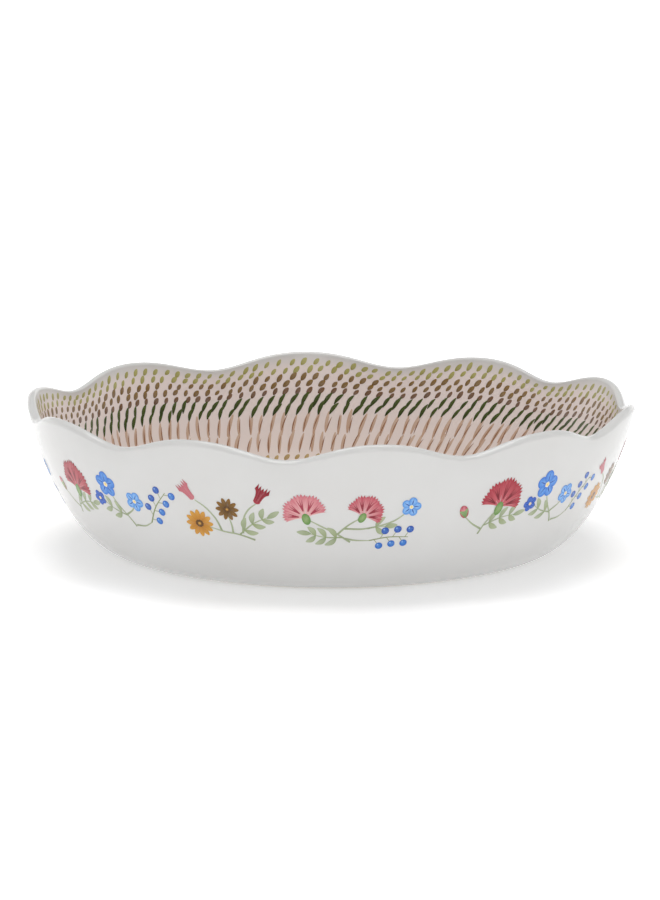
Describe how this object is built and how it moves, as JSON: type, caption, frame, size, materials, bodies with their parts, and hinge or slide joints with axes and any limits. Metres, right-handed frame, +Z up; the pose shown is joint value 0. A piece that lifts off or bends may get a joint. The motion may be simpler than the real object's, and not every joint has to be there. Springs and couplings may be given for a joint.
{
  "type": "porcelain serving bowl",
  "caption": "Round shallow serving bowl in glazed porcelain with a scalloped lip, a low foot ring, printed flower garlands outside and a printed lining inside.",
  "frame": {"origin": "on the table, at the middle of the foot ring", "axes": "+Z up along the bowl's axis, -Y towards the front that the garland's middle faces, +X to that front's right"},
  "size_m": [0.2593, 0.261, 0.0648],
  "materials": {
    "porcelain": "clear gloss glaze over fired white porcelain",
    "bisque_foot": "glazed sides, bare ground bearing land",
    "garland_print": "fired onglaze colours, glossy",
    "lining_print": "fired onglaze colours, glossy"
  },
  "bodies": {
    "root": {"bowl_body": "porcelain", "foot_ring": "bisque_foot", "garland_1": "garland_print", "garland_2": "garland_print", "garland_3": "garland_print", "garland_4": "garland_print", "lining_1": "lining_print", "lining_2": "lining_print", "lining_3": "lining_print", "lining_4": "lining_print", "well_print": "lining_print"}
  },
  "joints": []
}
